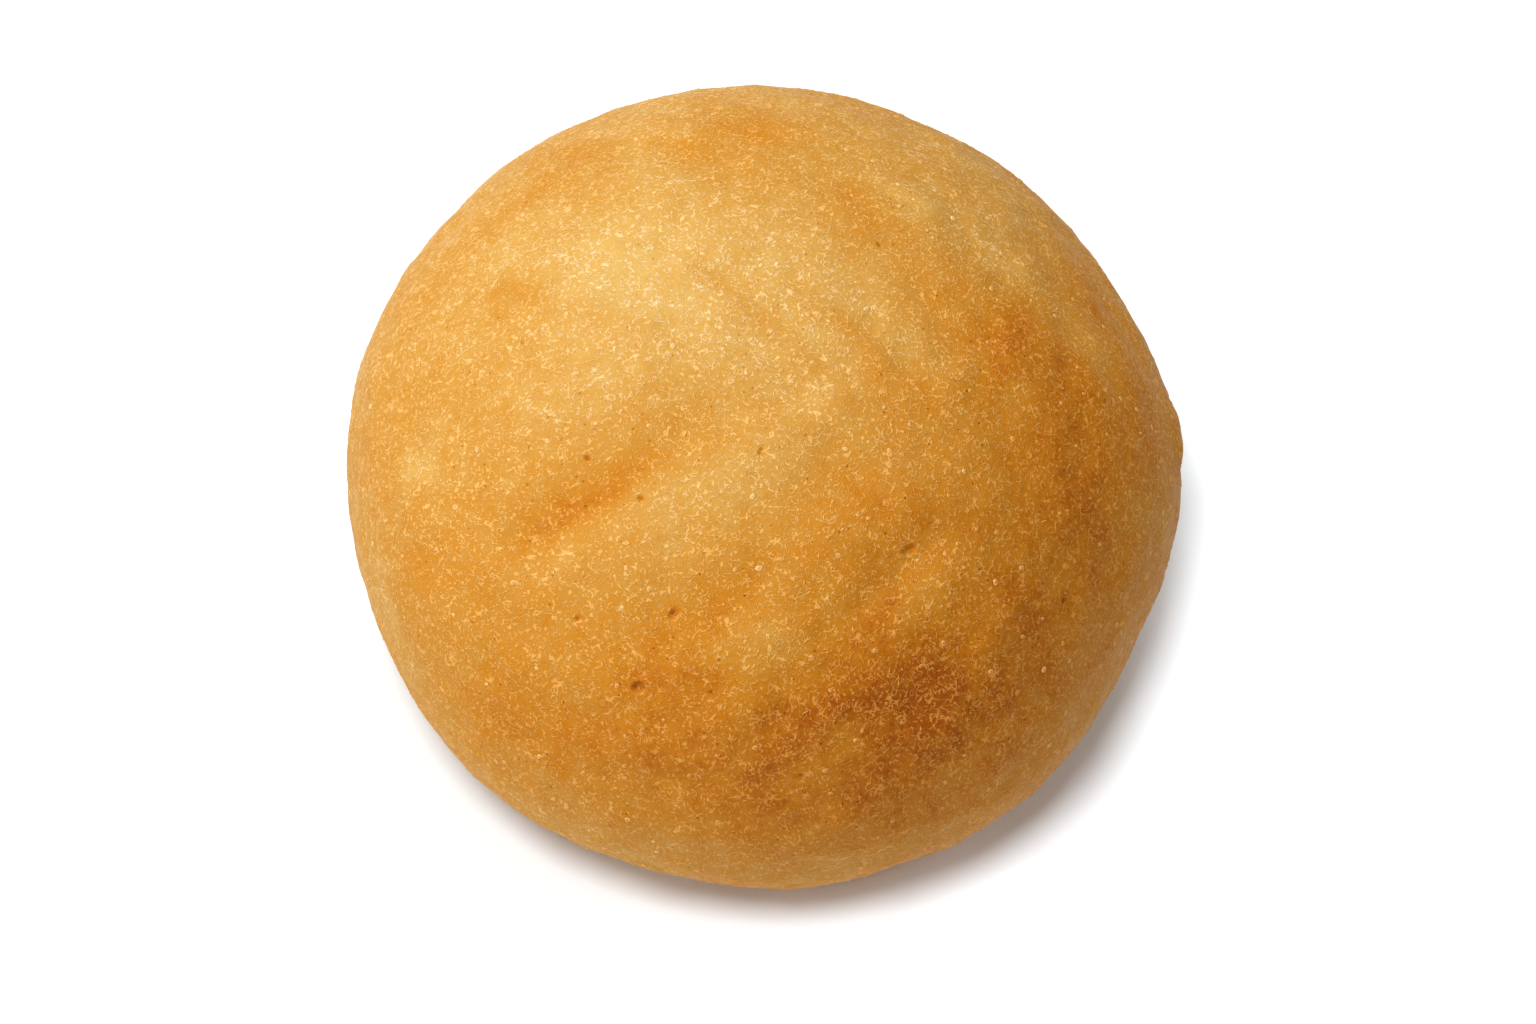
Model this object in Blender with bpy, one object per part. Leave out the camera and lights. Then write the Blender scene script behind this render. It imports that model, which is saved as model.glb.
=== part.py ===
"""A white cob loaf: one round, hand-shaped loaf, domed on top and flat where it sat on the oven tray.

Run it with blender --background --python part.py, or from Blender's text editor.

The loaf is a single solid, worked out in four steps from the driving dimensions below:
1. its plan, a smooth closed curve through half-breadths taken all round at the widest height;
2. its section, a fuller-than-elliptical dome above that height and a rounded underside below it;
3. the folds, hollows and lobes that shaping and proving left in the crust;
4. a gentle unevenness all over.

Lengths are in metres and +Z is up. The origin is on the base, under the middle of the loaf's box.
A place on the crust is given as (azimuth, climb) in degrees: azimuth is counted from +X towards +Y,
and climb is the angle on the unit sphere that the form is stretched from, 90 at the crown.
"""

import math
from dataclasses import dataclass

import bmesh
import bpy
import numpy as np

MM = 0.001

# Driving dimensions.
HEIGHT = 92 * MM
WIDEST_HEIGHT = 37 * MM
HALF_BREADTHS = MM * np.array([
    83.3, 81.8, 81.6, 82.9, 83.2, 84.9, 85.8, 86.3, 86.2, 85.0, 84.2, 84.2,
    82.9, 82.0, 82.9, 84.1, 85.0, 85.7, 86.5, 86.6, 85.8, 84.2, 81.8, 82.5,
])  # every 15 degrees of azimuth, from +X
MEAN_RADIUS = float(HALF_BREADTHS.mean())

# Section. A fullness of 2 is an ellipse, and more is squarer.
DOME_FULLNESS = 2.12
UNDERSIDE_FULLNESS = 2.0
UNDERSIDE_DEPTH = 52 * MM  # below the widest height, if nothing had flattened the underside
BASE_ROUNDING = 5 * MM  # the height over which the underside eases into the flat base
BASE_CLIMB = -56.0  # degrees: below this climb the underside is flat

# Unevenness: waves of two lengths, each a sum of cosines in random directions.
UNEVEN_SEED = 41
WAVES = 36
UNEVEN_BANDS = ((48 * MM, 0.2 * MM), (24 * MM, 0.07 * MM))  # wavelength, typical height

# Mesh density.
CAP_CELLS = 34  # cells along each side of the square grid that covers the crown
CAP_ANGLE = 45.0  # degrees from the crown to the middle of each side of that grid
SIDE_RINGS = 22  # rings of faces between the grid's rim and the base

CRUST_COLOUR = (0.58, 0.31, 0.09, 1.0)
CRUST_ROUGHNESS = 0.62


@dataclass(frozen=True)
class Fold:
    """A soft ridge or, with a negative height, a hollow. Its middle line runs from start to end."""

    start: tuple  # azimuth and climb in degrees
    end: tuple
    half_width: float
    height: float
    bow: float = 0.0  # how far the middle of the line bulges to the left of its run


FOLDS = {
    "left lobe": Fold((196, 47), (194, 73), 13 * MM, 1.0 * MM),
    "hollow under the left lobe": Fold((219, 44), (240, 74), 5.5 * MM, -1.2 * MM, -2.5 * MM),
    "tail of that hollow": Fold((238, 74), (290, 81), 5 * MM, -0.3 * MM),
    "crest over the left lobe": Fold((167, 46), (184, 76), 4 * MM, 0.3 * MM, 4 * MM),
    "hollow over that crest": Fold((156, 46), (156, 75), 8 * MM, -0.3 * MM, 4 * MM),
    "first crown crease": Fold((130, 75), (298, 78), 3 * MM, -0.15 * MM, 3 * MM),
    "second crown crease": Fold((65, 83), (336, 64), 3 * MM, -0.15 * MM, 2 * MM),
    "upper right fold": Fold((38, 63), (17, 54), 3.5 * MM, -0.2 * MM, 1.5 * MM),
    "lower right fold": Fold((15, 53), (2, 37), 4 * MM, -0.4 * MM, 2 * MM),
    "right knob": Fold((4, 14), (358, 12), 6 * MM, 1.4 * MM),
    "front crease": Fold((256, 49), (275, 62), 4.5 * MM, -0.5 * MM, -2 * MM),
    "ridge before the front crease": Fold((265, 41), (287, 58), 6 * MM, 0.2 * MM),
    "low front crease": Fold((269, 31), (290, 39), 6 * MM, -0.2 * MM, 3 * MM),
    "right front dimple": Fold((290, 49), (306, 55), 5 * MM, -0.65 * MM),
    "right front shoulder": Fold((292, 33), (302, 39), 7 * MM, -0.3 * MM),
    "back hollow": Fold((114, 54), (98, 64), 4.5 * MM, -0.3 * MM),
    "back ridge": Fold((105, 52), (82, 51), 5 * MM, 0.3 * MM),
    "back left hollow": Fold((127, 39), (114, 47), 6 * MM, -0.3 * MM),
    "left flank wrinkle": Fold((202, 20), (208, 10), 3.5 * MM, -0.3 * MM),
    "rear flank crease": Fold((62, 4), (88, 12), 7 * MM, -0.8 * MM, 4 * MM),
    "rear flank lobe": Fold((100, 2), (128, 4), 12 * MM, 1.0 * MM),
    "front flank lobe": Fold((245, 10), (285, 12), 12 * MM, 0.8 * MM),
}


def round_the_loaf(azimuth, values):
    """Each angle's value on the smoothest closed curve through evenly spaced values (a Fourier sum)."""
    count = len(values)
    terms = np.fft.rfft(values) / count
    total = np.full_like(azimuth, terms[0].real)
    for k in range(1, len(terms)):
        weight = 1 if 2 * k == count else 2
        total += weight * (terms[k] * np.exp(1j * k * azimuth)).real
    return total


def bare_form(directions):
    """Stretches unit directions to the plan and section, with the base flat at z = 0."""
    x, y, z = directions.T
    azimuth = np.arctan2(y, x)
    fullness = np.where(z > 0, DOME_FULLNESS, UNDERSIDE_FULLNESS)
    reach = round_the_loaf(azimuth, HALF_BREADTHS) * np.hypot(x, y) ** (2 / fullness)
    rise = np.abs(z) ** (2 / fullness)
    height = np.where(z > 0, (HEIGHT - WIDEST_HEIGHT) * rise, -UNDERSIDE_DEPTH * rise) + WIDEST_HEIGHT
    eased = (height + BASE_ROUNDING) ** 2 / (4 * BASE_ROUNDING)
    height = np.where(height > BASE_ROUNDING, height, np.where(height > -BASE_ROUNDING, eased, 0.0))
    return np.stack([reach * np.cos(azimuth), reach * np.sin(azimuth), height], axis=1)


def on_unit_sphere(place):
    """The unit direction of an (azimuth, climb) place."""
    azimuth, climb = np.radians(place)
    return np.array([
        math.cos(climb) * math.cos(azimuth),
        math.cos(climb) * math.sin(azimuth),
        math.sin(climb),
    ])


def fold_height(directions, fold):
    """A fold's height at each direction: a bell across its bowed middle line, fading past its ends."""
    start, end = on_unit_sphere(fold.start), on_unit_sphere(fold.end)
    run = end - start
    half_length = MEAN_RADIUS * np.linalg.norm(run) / 2
    run = run / np.linalg.norm(run)
    middle = (start + end) / np.linalg.norm(start + end)
    left = np.cross(middle, run)
    along = MEAN_RADIUS * (directions @ run)
    across = MEAN_RADIUS * (directions @ left) - fold.bow * (1 - (along / half_length) ** 2)
    past_end = np.maximum(np.abs(along) - 0.6 * half_length, 0.0)
    spread = 0.45 * half_length + 0.5 * fold.half_width
    bell = np.exp(-((across / fold.half_width) ** 2) - (past_end / spread) ** 2)
    return fold.height * bell * (directions @ middle > 0)


def unevenness(points):
    """Smooth random heights: for each band, cosine waves of one length in random directions, summed."""
    random = np.random.default_rng(UNEVEN_SEED)
    total = np.zeros(len(points))
    for wavelength, typical_height in UNEVEN_BANDS:
        ways = random.normal(size=(WAVES, 3))
        ways *= 2 * math.pi / wavelength / np.linalg.norm(ways, axis=1, keepdims=True)
        shifts = random.uniform(0, 2 * math.pi, WAVES)
        total += typical_height * math.sqrt(2 / WAVES) * np.cos(points @ ways.T + shifts).sum(axis=1)
    return total


def crust_points(directions):
    """The loaf's surface at each unit direction, folds and unevenness included."""
    points = bare_form(directions)
    relief = unevenness(points) + sum(fold_height(directions, fold) for fold in FOLDS.values())
    half_size = np.array([MEAN_RADIUS, MEAN_RADIUS, HEIGHT - WIDEST_HEIGHT])
    outward = directions / half_size
    outward /= np.linalg.norm(outward, axis=1, keepdims=True)
    clear_of_base = np.clip(points[:, 2] / (4 * BASE_ROUNDING), 0, 1)
    points += outward * (relief * clear_of_base)[:, None]
    return points


def over_the_crown(x, y):
    """Wraps a square of side 2 over the crown, as the top face of a cube is wrapped over a sphere."""
    direction = np.array([*np.tan(np.radians(CAP_ANGLE) * np.array([x, y])), 1.0])
    return direction / np.linalg.norm(direction)


def lower(direction, rings_left):
    """The direction one ring further down, when the rings that are left share the way to the base evenly."""
    x, y, z = direction
    azimuth, climb = math.degrees(math.atan2(y, x)), math.degrees(math.asin(z))
    return on_unit_sphere((azimuth, climb + (BASE_CLIMB - climb) / rings_left))


def unit_shell():
    """A closed mesh on the unit sphere: a square grid over the crown, rings down the side, one base face."""
    shell = bmesh.new()
    bmesh.ops.create_grid(shell, x_segments=CAP_CELLS, y_segments=CAP_CELLS, size=1.0)
    for vert in shell.verts:
        vert.co = over_the_crown(vert.co.x, vert.co.y)
    rim = [edge for edge in shell.edges if edge.is_boundary]
    for rings_left in range(SIDE_RINGS, 0, -1):
        grown = bmesh.ops.extrude_edge_only(shell, edges=rim)["geom"]
        for vert in (item for item in grown if isinstance(item, bmesh.types.BMVert)):
            vert.co = lower(vert.co, rings_left)
        rim = [item for item in grown if isinstance(item, bmesh.types.BMEdge) and item.is_boundary]
    bmesh.ops.edgeloop_fill(shell, edges=rim)
    bmesh.ops.recalc_face_normals(shell, faces=shell.faces)
    return shell


def crust_material():
    """Golden baked crust: matt, with no sheen of glaze."""
    material = bpy.data.materials.new("baked_crust")
    material.use_nodes = True
    shader = material.node_tree.nodes["Principled BSDF"]
    shader.inputs["Base Color"].default_value = CRUST_COLOUR
    shader.inputs["Roughness"].default_value = CRUST_ROUGHNESS
    shader.inputs["Metallic"].default_value = 0.0
    return material


def make_loaf():
    """Builds the loaf and centres its box over the origin."""
    shell = unit_shell()
    mesh = bpy.data.meshes.new("loaf")
    shell.to_mesh(mesh)
    shell.free()
    directions = np.empty(len(mesh.vertices) * 3)
    mesh.vertices.foreach_get("co", directions)
    points = crust_points(directions.reshape(-1, 3))
    points[:, :2] -= (points[:, :2].min(axis=0) + points[:, :2].max(axis=0)) / 2
    mesh.vertices.foreach_set("co", points.astype(np.float32).ravel())
    mesh.update()
    mesh.shade_smooth()
    mesh.materials.append(crust_material())
    loaf = bpy.data.objects.new("loaf", mesh)
    bpy.context.scene.collection.objects.link(loaf)
    return loaf


def main():
    for old in list(bpy.data.objects):
        bpy.data.objects.remove(old)
    make_loaf()


main()
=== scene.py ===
"""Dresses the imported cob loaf: a fine baked crust with its folds, pits, blisters and curled skin flecks.

Lengths are in metres and +Z is up. The loaf stands on z = 0, with the origin under the middle of its box.
A place on the crust is given as (azimuth, climb) in degrees: azimuth is counted from +X towards +Y, and
climb is the angle on the unit sphere that the form is stretched from, 90 at the crown.
"""

from __future__ import annotations

import logging
import math
from dataclasses import dataclass, field
from enum import Enum

import bpy
import numpy as np
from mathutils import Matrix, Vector

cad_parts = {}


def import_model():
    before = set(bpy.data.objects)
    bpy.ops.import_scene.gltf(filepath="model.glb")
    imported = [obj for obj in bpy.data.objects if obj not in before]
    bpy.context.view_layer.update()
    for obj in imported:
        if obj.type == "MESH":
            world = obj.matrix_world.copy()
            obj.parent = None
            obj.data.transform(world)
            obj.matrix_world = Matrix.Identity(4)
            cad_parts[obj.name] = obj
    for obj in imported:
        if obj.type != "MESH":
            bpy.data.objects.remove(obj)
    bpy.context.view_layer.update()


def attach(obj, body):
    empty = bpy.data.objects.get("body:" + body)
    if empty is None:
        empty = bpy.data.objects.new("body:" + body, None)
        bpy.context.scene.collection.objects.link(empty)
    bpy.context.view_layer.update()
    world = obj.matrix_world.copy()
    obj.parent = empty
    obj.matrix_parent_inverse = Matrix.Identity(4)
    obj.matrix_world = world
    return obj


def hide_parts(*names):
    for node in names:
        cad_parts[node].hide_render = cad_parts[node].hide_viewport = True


LOG = logging.getLogger("cob_loaf")
MM = 0.001

Array = np.ndarray
Pair = tuple[float, float]
Triple = tuple[float, float, float]
Place = Pair  # azimuth and climb, in degrees
Bands = tuple[Pair, ...]  # the wavelength and the spread of each band of noise
Shades = tuple[tuple[float, str], ...]  # how far along a ramp, and the hex colour there
Tree = bpy.types.NodeTree
Socket = bpy.types.NodeSocket


class Attribute(Enum):
    """The values that each crust vertex carries to its finish."""

    BROWNING = "browning"
    PALLOR = "pallor"


# ---------------- shared helpers


def linear(hex_colour: str) -> tuple[float, float, float, float]:
    """Turns an sRGB hex colour into linear light.

    Args:
        hex_colour: Six hex digits after a hash, such as "#d9a04a".

    Returns:
        Linear red, green and blue, and an alpha of 1.
    """
    channels = np.array([int(hex_colour[i : i + 2], 16) for i in (1, 3, 5)]) / 255
    light = np.where(channels <= 0.04045, channels / 12.92, ((channels + 0.055) / 1.055) ** 2.4)
    return (*light.tolist(), 1.0)


def add(tree: Tree, kind: str, inputs: dict[str | int, object], **settings: object) -> bpy.types.Node:
    """Adds a node to a tree.

    Args:
        tree: The tree that takes the node.
        kind: The node's Blender identifier.
        inputs: What each input socket gets, by name or index: a value, or the output socket to link.
        settings: The node's own properties.

    Returns:
        The new node.
    """
    node = tree.nodes.new(kind)
    for name, value in settings.items():
        setattr(node, name, value)
    for name, value in inputs.items():
        if isinstance(value, Socket):
            tree.links.new(value, node.inputs[name])
        else:
            node.inputs[name].default_value = value
    return node


def maths(tree: Tree, operation: str, *values: Socket | float, clamp: bool = False) -> Socket:
    """Adds a math node on one, two or three values, and gives its result."""
    inputs = dict(enumerate(values))
    return add(tree, "ShaderNodeMath", inputs, operation=operation, use_clamp=clamp).outputs[0]


def eased(tree: Tree, value: Socket, start: float, end: float) -> Socket:
    """Adds a smooth step, 0 where the value is at start and 1 where it is at end, and flat beyond both."""
    inputs = {"Value": value, "From Min": start, "From Max": end}
    return add(tree, "ShaderNodeMapRange", inputs, interpolation_type="SMOOTHSTEP").outputs[0]


def blended(tree: Tree, share: Socket, first: object, second: object) -> Socket:
    """Adds a mix of two colours, all of the first at a share of 0 and all of the second at 1."""
    inputs = {"Factor": share, "A": first, "B": second}
    return add(tree, "ShaderNodeMix", inputs, data_type="RGBA").outputs["Result"]


def ramp(tree: Tree, level: Socket, shades: Shades) -> Socket:
    """Adds a colour ramp.

    Args:
        tree: The tree that takes the node.
        level: Where along the ramp the colour is picked, from 0 to 1.
        shades: The ramp's stops.

    Returns:
        The colour's socket.
    """
    node = add(tree, "ShaderNodeValToRGB", {"Fac": level})
    for index, (position, colour) in enumerate(shades):
        stop = node.color_ramp.elements[index] if index < 2 else node.color_ramp.elements.new(position)
        stop.position, stop.color = position, linear(colour)
    return node.outputs["Color"]


def smooth_step(value: Array) -> Array:
    """Eases 0 to 1 as 3 v squared minus 2 v cubed, with v held between 0 and 1."""
    held = np.clip(value, 0.0, 1.0)
    return held * held * (3.0 - 2.0 * held)


def unit(vectors: Array) -> Array:
    """Scales each vector of the last axis to length 1."""
    return vectors / np.linalg.norm(vectors, axis=-1, keepdims=True)


def on_unit_sphere(place: Place) -> Array:
    """Gives the unit direction of an (azimuth, climb) place."""
    azimuth, climb = np.radians(place)
    return np.array(
        [math.cos(climb) * math.cos(azimuth), math.cos(climb) * math.sin(azimuth), math.sin(climb)]
    )


NOISE_WAVES = 40


def wave_noise(points: Array, wavelength: float, seed: int) -> Array:
    """Makes smooth random heights, as a sum of cosine waves in random directions.

    Args:
        points: The points to take it at, one a row.
        wavelength: The middle wavelength; each wave's own is between 0.75 and 1.35 times that.
        seed: The seed of the directions, lengths and phases.

    Returns:
        A value at each point, with a spread of about 1.
    """
    random = np.random.default_rng(seed)
    ways = unit(random.normal(size=(NOISE_WAVES, 3)))
    ways *= 2 * math.pi / (wavelength * random.uniform(0.75, 1.35, (NOISE_WAVES, 1)))
    shifts = random.uniform(0, 2 * math.pi, NOISE_WAVES)
    return math.sqrt(2 / NOISE_WAVES) * np.cos(points @ ways.T + shifts).sum(axis=1)


def with_bands(base: Array | float, points: Array, bands: Bands, seed: int) -> Array:
    """Adds bands of wave noise to a base value.

    Args:
        base: The value at each point, or one for them all.
        points: The points, one a row.
        bands: The bands.
        seed: The first band's seed. Each further band's is one more.

    Returns:
        The sum at each point.
    """
    total = base
    for number, (wavelength, spread) in enumerate(bands):
        total = total + spread * wave_noise(points, wavelength, seed + number)
    return total


def make_piece(
    name: str, points: Array, faces: Array, values: dict[Attribute, Array], finish: bpy.types.Material
) -> bpy.types.Object:
    """Puts arrays into a smooth mesh object at the origin.

    Args:
        name: The piece's name.
        points: Vertex positions, one a row.
        faces: Vertex numbers, three or four a row, turning outwards.
        values: A value for each vertex, by attribute.
        finish: The piece's material.

    Returns:
        The new object, linked to the scene.
    """
    mesh = bpy.data.meshes.new(name)
    mesh.vertices.add(len(points))
    mesh.vertices.foreach_set("co", points.astype(np.float32).ravel())
    mesh.loops.add(faces.size)
    mesh.loops.foreach_set("vertex_index", faces.astype(np.int32).ravel())
    mesh.polygons.add(len(faces))
    mesh.polygons.foreach_set("loop_start", np.arange(0, faces.size, faces.shape[1], dtype=np.int32))
    mesh.update(calc_edges=True)
    mesh.validate()
    mesh.shade_smooth()
    for attribute, value in values.items():
        layer = mesh.attributes.new(attribute.value, "FLOAT", "POINT")
        layer.data.foreach_set("value", value.astype(np.float32))
    mesh.materials.append(finish)
    piece = bpy.data.objects.new(name, mesh)
    bpy.context.scene.collection.objects.link(piece)
    return piece


# ---------------- the form


# A stroke keeps its whole strength over the first share of its half length. Beyond that it fades by a bell
# as wide as the second share of the half length and the third share of the half width together.
WHOLE_SHARE, FADE_BY_LENGTH, FADE_BY_WIDTH = 0.6, 0.45, 0.5


@dataclass(frozen=True)
class Stroke:
    """A soft stroke along the crust, such as a fold, a hollow or a band of darker bake."""

    start: Place
    end: Place
    half_width: float
    strength: float
    bow: float = 0.0  # how far the middle of the line bulges to the left of its run

    @classmethod
    def table(cls, full_strength: float, rows: dict[str, tuple[float, ...]]) -> dict[str, Stroke]:
        """Makes strokes of a table.

        Args:
            full_strength: What a strength of 1 stands for.
            rows: The azimuth and climb of each stroke's start and of its end, its half width in mm, its
                strength, and its bow in mm if it has one.

        Returns:
            The strokes, by name.
        """
        return {
            name: cls(row[:2], row[2:4], row[4] * MM, row[5] * full_strength, sum(row[6:]) * MM)
            for name, row in rows.items()
        }

    def at(self, directions: Array, mean_radius: float) -> Array:
        """Takes the stroke's strength: a bell across its bowed middle line, fading past its ends.

        The bell is exp(-(across / half width) squared), times the same kind of bell along the line
        beyond the part that keeps its whole strength.

        Args:
            directions: Unit directions, one a row.
            mean_radius: The radius that turns directions into lengths.

        Returns:
            The strength at each direction.
        """
        start, end = on_unit_sphere(self.start), on_unit_sphere(self.end)
        half_length = mean_radius * np.linalg.norm(end - start) / 2
        run, middle = unit(end - start), unit(start + end)
        left = np.cross(middle, run)
        along = mean_radius * (directions @ run)
        across = mean_radius * (directions @ left) - self.bow * (1 - (along / half_length) ** 2)
        past_end = np.maximum(np.abs(along) - WHOLE_SHARE * half_length, 0.0)
        spread = FADE_BY_LENGTH * half_length + FADE_BY_WIDTH * self.half_width
        bell = np.exp(-((across / self.half_width) ** 2) - (past_end / spread) ** 2)
        return self.strength * bell * (directions @ middle > 0)


FOLDS = Stroke.table(MM, {
    "left lobe": (196, 47, 194, 73, 13, 1.0),
    "hollow under the left lobe": (219, 44, 240, 74, 5.5, -1.2, -2.5),
    "tail of that hollow": (238, 74, 290, 81, 5, -0.3),
    "crest over the left lobe": (167, 46, 184, 76, 4, 0.3, 4),
    "hollow over that crest": (156, 46, 156, 75, 8, -0.3, 4),
    "first crown crease": (130, 75, 298, 78, 3, -0.15, 3),
    "second crown crease": (65, 83, 336, 64, 3, -0.15, 2),
    "upper right fold": (38, 63, 17, 54, 3.5, -0.2, 1.5),
    "lower right fold": (15, 53, 2, 37, 4, -0.4, 2),
    "right knob": (4, 14, 358, 12, 6, 1.4),
    "front crease": (256, 49, 275, 62, 4.5, -0.5, -2),
    "ridge before the front crease": (265, 41, 287, 58, 6, 0.2),
    "low front crease": (269, 31, 290, 39, 6, -0.2, 3),
    "right front dimple": (290, 49, 306, 55, 5, -0.65),
    "right front shoulder": (292, 33, 302, 39, 7, -0.3),
    "back hollow": (114, 54, 98, 64, 4.5, -0.3),
    "back ridge": (105, 52, 82, 51, 5, 0.3),
    "back left hollow": (127, 39, 114, 47, 6, -0.3),
    "left flank wrinkle": (202, 20, 208, 10, 3.5, -0.3),
    "rear flank crease": (62, 4, 88, 12, 7, -0.8, 4),
    "rear flank lobe": (100, 2, 128, 4, 12, 1.0),
    "front flank lobe": (245, 10, 285, 12, 12, 0.8),
})


@dataclass(frozen=True)
class LoafForm:
    """The loaf's outer form, with the same sizes as the solid it covers."""

    height: float = 92 * MM
    widest_height: float = 37 * MM
    half_breadths: tuple[float, ...] = (
        83.3, 81.8, 81.6, 82.9, 83.2, 84.9, 85.8, 86.3, 86.2, 85.0, 84.2, 84.2,
        82.9, 82.0, 82.9, 84.1, 85.0, 85.7, 86.5, 86.6, 85.8, 84.2, 81.8, 82.5,
    )  # mm, every 15 degrees of azimuth from +X  # fmt: skip
    dome_fullness: float = 2.12
    underside_fullness: float = 2.0
    underside_depth: float = 52 * MM
    base_rounding: float = 5 * MM
    relief_fade: float = 20 * MM  # the height over which all relief fades out towards the base
    uneven_seed: int = 41
    uneven_waves: int = 36
    uneven_bands: Bands = ((48 * MM, 0.2 * MM), (24 * MM, 0.07 * MM))
    box_centre: Triple = (0.0257 * MM, -0.1568 * MM, 0.0)  # of the uncentred skin

    @property
    def mean_radius(self) -> float:
        """The mean half-breadth."""
        return float(np.mean(self.half_breadths)) * MM

    def plan_reach(self, azimuth: Array) -> Array:
        """Takes the smoothest closed curve through the half-breadths, as a Fourier sum.

        Args:
            azimuth: Angles in radians.

        Returns:
            The half-breadth at each angle.
        """
        count = len(self.half_breadths)
        terms = np.fft.rfft(self.half_breadths) / count
        total = np.full_like(azimuth, terms[0].real)
        for k in range(1, len(terms)):
            weight = 1 if 2 * k == count else 2
            total += weight * (terms[k] * np.exp(1j * k * azimuth)).real
        return total * MM

    def bare(self, directions: Array) -> Array:
        """Stretches unit directions to the plan and section, with the base flat at z = 0.

        The reach is the plan's half-breadth times hypot(x, y) to the power 2 / fullness, and the rise is
        abs(z) to the same power. Near the base the height h rounds off to 0 as (h + r) squared over 4 r.

        Args:
            directions: Unit directions, one a row.

        Returns:
            A point for each direction.
        """
        x, y, z = directions.T
        azimuth = np.arctan2(y, x)
        fullness = np.where(z > 0, self.dome_fullness, self.underside_fullness)
        reach = self.plan_reach(azimuth) * np.hypot(x, y) ** (2 / fullness)
        rise = np.abs(z) ** (2 / fullness)
        depth = np.where(z > 0, self.height - self.widest_height, -self.underside_depth)
        height = depth * rise + self.widest_height
        rounding = self.base_rounding
        rounded = (height + rounding) ** 2 / (4 * rounding)
        height = np.where(height > rounding, height, np.where(height > -rounding, rounded, 0.0))
        return np.stack([reach * np.cos(azimuth), reach * np.sin(azimuth), height], axis=1)

    def unevenness(self, points: Array) -> Array:
        """Sums the loaf's two bands of long waves, cosines in random directions, at each point."""
        random = np.random.default_rng(self.uneven_seed)
        total = np.zeros(len(points))
        for wavelength, typical_height in self.uneven_bands:
            ways = random.normal(size=(self.uneven_waves, 3))
            ways *= 2 * math.pi / wavelength / np.linalg.norm(ways, axis=1, keepdims=True)
            shifts = random.uniform(0, 2 * math.pi, self.uneven_waves)
            scale = typical_height * math.sqrt(2 / self.uneven_waves)
            total += scale * np.cos(points @ ways.T + shifts).sum(axis=1)
        return total

    def outward(self, directions: Array) -> Array:
        """Gives the ellipsoid's outward normal in each direction."""
        return unit(directions / [self.mean_radius, self.mean_radius, self.height - self.widest_height])

    def skin(self, directions: Array, relief: Array) -> Array:
        """Adds the folds, the unevenness and any finer relief to the bare form.

        All relief stands along the outward normal, and fades out towards the base. The skin is then
        moved so that its box is centred over the origin.

        Args:
            directions: Unit directions, one a row.
            relief: The finer relief's height at each direction.

        Returns:
            A point for each direction.
        """
        points = self.bare(directions)
        heights = self.unevenness(points) + relief
        for fold in FOLDS.values():
            heights = heights + fold.at(directions, self.mean_radius)
        clear_of_base = np.clip(points[:, 2] / self.relief_fade, 0, 1)
        return points + self.outward(directions) * (heights * clear_of_base)[:, None] - self.box_centre


# ---------------- the crust


PIT_REACH = 5.0  # pit radii from its centre, beyond which a pit changes nothing
RIM_PLACE, RIM_WIDTH = 1.35, 0.3  # pit radii


def bowl(apart: Array) -> Array:
    """Gives a flat-bottomed hollow's profile, exp(-d to the fourth), where d is 1 on its edge."""
    return np.exp(-(apart**4))


@dataclass(frozen=True)
class Pit:
    """A burst gas bubble: a flat-bottomed hollow with a low rim."""

    place: Place
    half_length: float
    half_width: float
    heading: float  # degrees that its length is turned from level
    depth: float
    rim: float = 0.0
    gather: float = 7 * MM  # the mesh is drawn together within this of it, or 0 for none
    inside_browning: float = 0.3  # added to the browning inside it

    def distance(self, directions: Array, mean_radius: float) -> Array:
        """Gives how far each direction is from the centre, as a share of the pit's own radius.

        Args:
            directions: Unit directions, one a row.
            mean_radius: The radius that turns directions into lengths.

        Returns:
            0 at the centre, 1 on the pit's edge, and PIT_REACH at the most.
        """
        centre = on_unit_sphere(self.place)
        level = unit(np.cross([0.0, 0.0, 1.0], centre))
        upward = np.cross(centre, level)
        turn = math.radians(self.heading)
        along = directions @ (level * math.cos(turn) + upward * math.sin(turn))
        across = directions @ (upward * math.cos(turn) - level * math.sin(turn))
        apart = mean_radius * np.hypot(along / self.half_length, across / self.half_width)
        return np.where(directions @ centre > 0, np.minimum(apart, PIT_REACH), PIT_REACH)

    def relief(self, directions: Array, mean_radius: float) -> Array:
        """Takes the pit's height: a rim's bell, less the depth of the bowl."""
        apart = self.distance(directions, mean_radius)
        return self.rim * np.exp(-(((apart - RIM_PLACE) / RIM_WIDTH) ** 2)) - self.depth * bowl(apart)


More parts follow.
